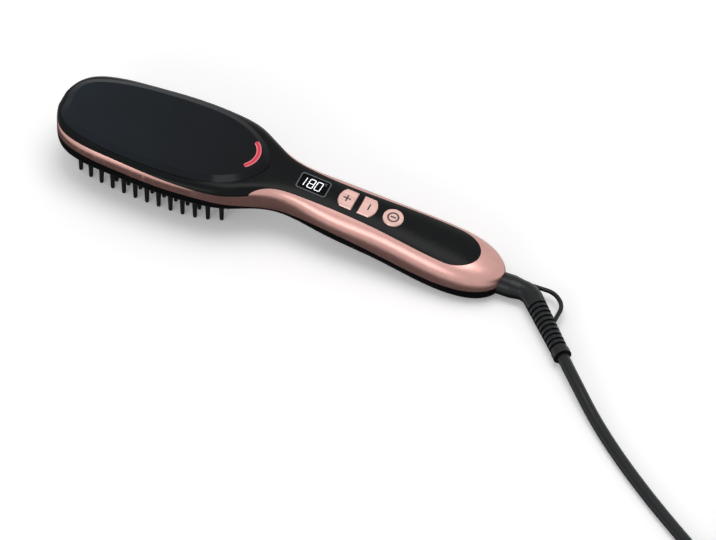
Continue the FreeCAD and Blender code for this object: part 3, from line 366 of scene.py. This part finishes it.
# %% inner pieces
metal = finish("cast_metal", (0.55, 0.55, 0.57), (0.68, 0.68, 0.70), 300.0, 0.4, metal=1.0, bump=0.1)
steel = finish("screw_steel", (0.42, 0.42, 0.44), (0.55, 0.55, 0.57), 800.0, 0.3, metal=1.0)
pale = finish("pale_ceramic", (0.62, 0.60, 0.54), (0.74, 0.71, 0.65), 200.0, 0.7)
mica = finish("mica_sheet", (0.46, 0.38, 0.25), (0.62, 0.54, 0.38), 120.0, 0.6)
board = finish("board_green", (0.03, 0.16, 0.07), (0.05, 0.21, 0.10), 400.0, 0.4)
chip = finish("moulded_black", (0.035, 0.035, 0.04), (0.06, 0.06, 0.065), 500.0, 0.5)
nylon = finish("slippery_white", (0.72, 0.72, 0.69), (0.82, 0.82, 0.79), 300.0, 0.45)
woven = finish("tie_fabric", (0.012, 0.012, 0.014), (0.030, 0.030, 0.034), 1500.0, 0.85, bump=0.4)
plug = finish("plug_satin", (0.013, 0.015, 0.017), (0.020, 0.022, 0.025), 700.0, 0.45, bump=0.08)
nickel = finish("pin_nickel", (0.62, 0.60, 0.55), (0.75, 0.72, 0.67), 500.0, 0.25, metal=1.0)
dress(metal, "heater_plate", "element_clamp")
dress(steel, "heater_screws", "case_screws", "swivel_clip")
dress(pale, "heating_elements", "heat_shield", "heater_wires")
dress(mica, "insulation_sheet")
dress(board, "control_board", "power_board", "light_board")
dress(chip, "tact_switches", "display_module", "power_parts", "thermal_fuse", "thermistor")
dress(nylon, "swivel_bush")
dress(woven, "cord_tie")
dress(plug, "plug_body")
dress(nickel, "plug_pins")

# %% [markdown]
# The marks on the keys are thin dark print: a plus, a minus, and a ring with a bar. They could be a picture,
# but thin solids stay sharp from any distance. Each is drawn flat on the sloping panel from cubes and a ring,
# and then joined into one piece that moves with its key.

# %% marks on the keys
DECK = Matrix.Translation((0.0183, 0.0, 0.0400)) @ Matrix.Rotation(math.radians(6.2), 4, "Y")
KEY_TOP = 0.7
ink = finish("mark_ink", (0.020, 0.018, 0.018), (0.035, 0.030, 0.030), 900.0, 0.5)


def bar(along, across, height, length, width, thick, turn=0.0):
    """A thin bar on the panel, with its sizes in millimetres."""
    place = DECK @ Matrix.Translation((along / MILLI, across / MILLI, height / MILLI))
    place = place @ Matrix.Rotation(math.radians(turn), 4, "Z")
    bpy.ops.mesh.primitive_cube_add(size=1.0, location=place.to_translation(), rotation=place.to_euler())
    made = bpy.context.object
    made.scale = (length / MILLI, width / MILLI, thick / MILLI)
    return made


def hoop(along, across, height, radius, thick, flat, rounds, sides):
    """A flattened ring on the panel, with its sizes in millimetres."""
    place = DECK @ Matrix.Translation((along / MILLI, across / MILLI, height / MILLI))
    bpy.ops.mesh.primitive_torus_add(major_radius=radius / MILLI, minor_radius=thick / MILLI,
                                     major_segments=rounds, minor_segments=sides,
                                     location=place.to_translation(), rotation=place.to_euler())
    made = bpy.context.object
    made.scale = (1.0, 1.0, flat)
    return made


def one_piece(name, parts, material, body):
    """Joins parts into one object at the origin, with a finish, that moves with a body."""
    bpy.ops.object.select_all(action="DESELECT")
    for part in parts:
        part.select_set(True)
    bpy.context.view_layer.objects.active = parts[0]
    bpy.ops.object.join()
    bpy.ops.object.transform_apply(location=True, rotation=True, scale=True)
    made = bpy.context.object
    made.name = name
    made.data.name = name
    made.data.materials.clear()
    made.data.materials.append(material)
    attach(made, body)
    bpy.ops.object.select_all(action="DESELECT")
    print(name, len(made.data.vertices), "points")


PRINT = 0.08
PLUS, MINUS, POWER = 24.4, 38.9, 54.8
MARK_WIDE = 0.9
one_piece("plus_mark", [bar(PLUS, 0.0, KEY_TOP, 5.0, MARK_WIDE, PRINT),
                        bar(PLUS, 0.0, KEY_TOP, MARK_WIDE, 5.0, PRINT)], ink, "plus_key")
one_piece("minus_mark", [bar(MINUS, 0.0, KEY_TOP, MARK_WIDE, 4.8, PRINT)], ink, "minus_key")
one_piece("power_mark", [hoop(POWER, 0.0, KEY_TOP, 3.2, 0.55, 0.12, 48, 10),
                         bar(POWER, 0.0, KEY_TOP, 3.4, 1.0, PRINT)], ink, "power_key")

# %% [markdown]
# The display shows a temperature in slanted seven-segment digits. Text would need a font of that kind, so
# each digit is built from the bars that it lights, in the order top, top right, bottom right, bottom,
# bottom left, top left and middle.

# %% digits
white = bpy.data.materials.new("digit_white")
white.use_nodes = True
tree = white.node_tree
shader = tree.nodes["Principled BSDF"]
where = tree.nodes.new("ShaderNodeTexCoord")
noise = tree.nodes.new("ShaderNodeTexNoise")
noise.inputs["Scale"].default_value = 400.0
tone = tree.nodes.new("ShaderNodeValToRGB")
tone.color_ramp.elements[0].color = (0.80, 0.84, 0.88, 1.0)
tone.color_ramp.elements[1].color = (0.95, 0.97, 1.0, 1.0)
tree.links.new(where.outputs["Object"], noise.inputs["Vector"])
tree.links.new(noise.outputs["Fac"], tone.inputs["Fac"])
tree.links.new(tone.outputs["Color"], shader.inputs["Base Color"])
tree.links.new(tone.outputs["Color"], shader.inputs["Emission Color"])
shader.inputs["Emission Strength"].default_value = 0.7

SEGMENTS = {"1": "bc", "8": "abcdefg", "0": "abcdef"}
HALF_WIDE = 1.7
HALF_TALL = 3.3
SLANT = 0.08
STROKE = 0.52
SHORTER = 0.75 * STROKE
PANE_TOP = 0.1


def segment(letter, middle):
    """One lit bar of a digit whose middle is at a place along the display."""
    spots = {"a": (0, 1, 0), "b": (1, 0.5, 1), "c": (1, -0.5, 1), "d": (0, -1, 0), "e": (-1, -0.5, 1),
             "f": (-1, 0.5, 1), "g": (0, 0, 0)}
    side, level, upright = spots[letter]
    across = level * HALF_TALL
    along = middle + side * HALF_WIDE + SLANT * across
    if upright:
        return bar(along, across, PANE_TOP, HALF_TALL - SHORTER, STROKE, PRINT, 90.0 - math.degrees(SLANT))
    return bar(along, across, PANE_TOP, 2 * HALF_WIDE - SHORTER, STROKE, PRINT)


lit_bars = []
for figure, middle in (("1", -4.85), ("8", 0.9), ("0", 5.7)):
    lit_bars += [segment(letter, middle) for letter in SEGMENTS[figure]]
one_piece("display_digits", lit_bars, white, "brush")

dim = finish("unit_grey", (0.16, 0.17, 0.19), (0.24, 0.25, 0.27), 400.0, 0.5)
UNIT_ALONG, UNIT_ACROSS = 9.6, 3.2
UNIT_STROKE = 0.2
unit = [hoop(UNIT_ALONG - 1.2, UNIT_ACROSS + 0.6, PANE_TOP, 0.3, 0.08, 0.5, 24, 8)]
unit.append(bar(UNIT_ALONG - 0.45, UNIT_ACROSS, PANE_TOP, UNIT_STROKE, 1.6, PRINT))
for side in (-1, 1):
    unit.append(bar(UNIT_ALONG, UNIT_ACROSS + side * 0.7, PANE_TOP, 0.9, UNIT_STROKE, PRINT))
one_piece("display_unit", unit, dim, "brush")

# %% [markdown]
# The last step updates the view layer.

# %% update
bpy.context.view_layer.update()
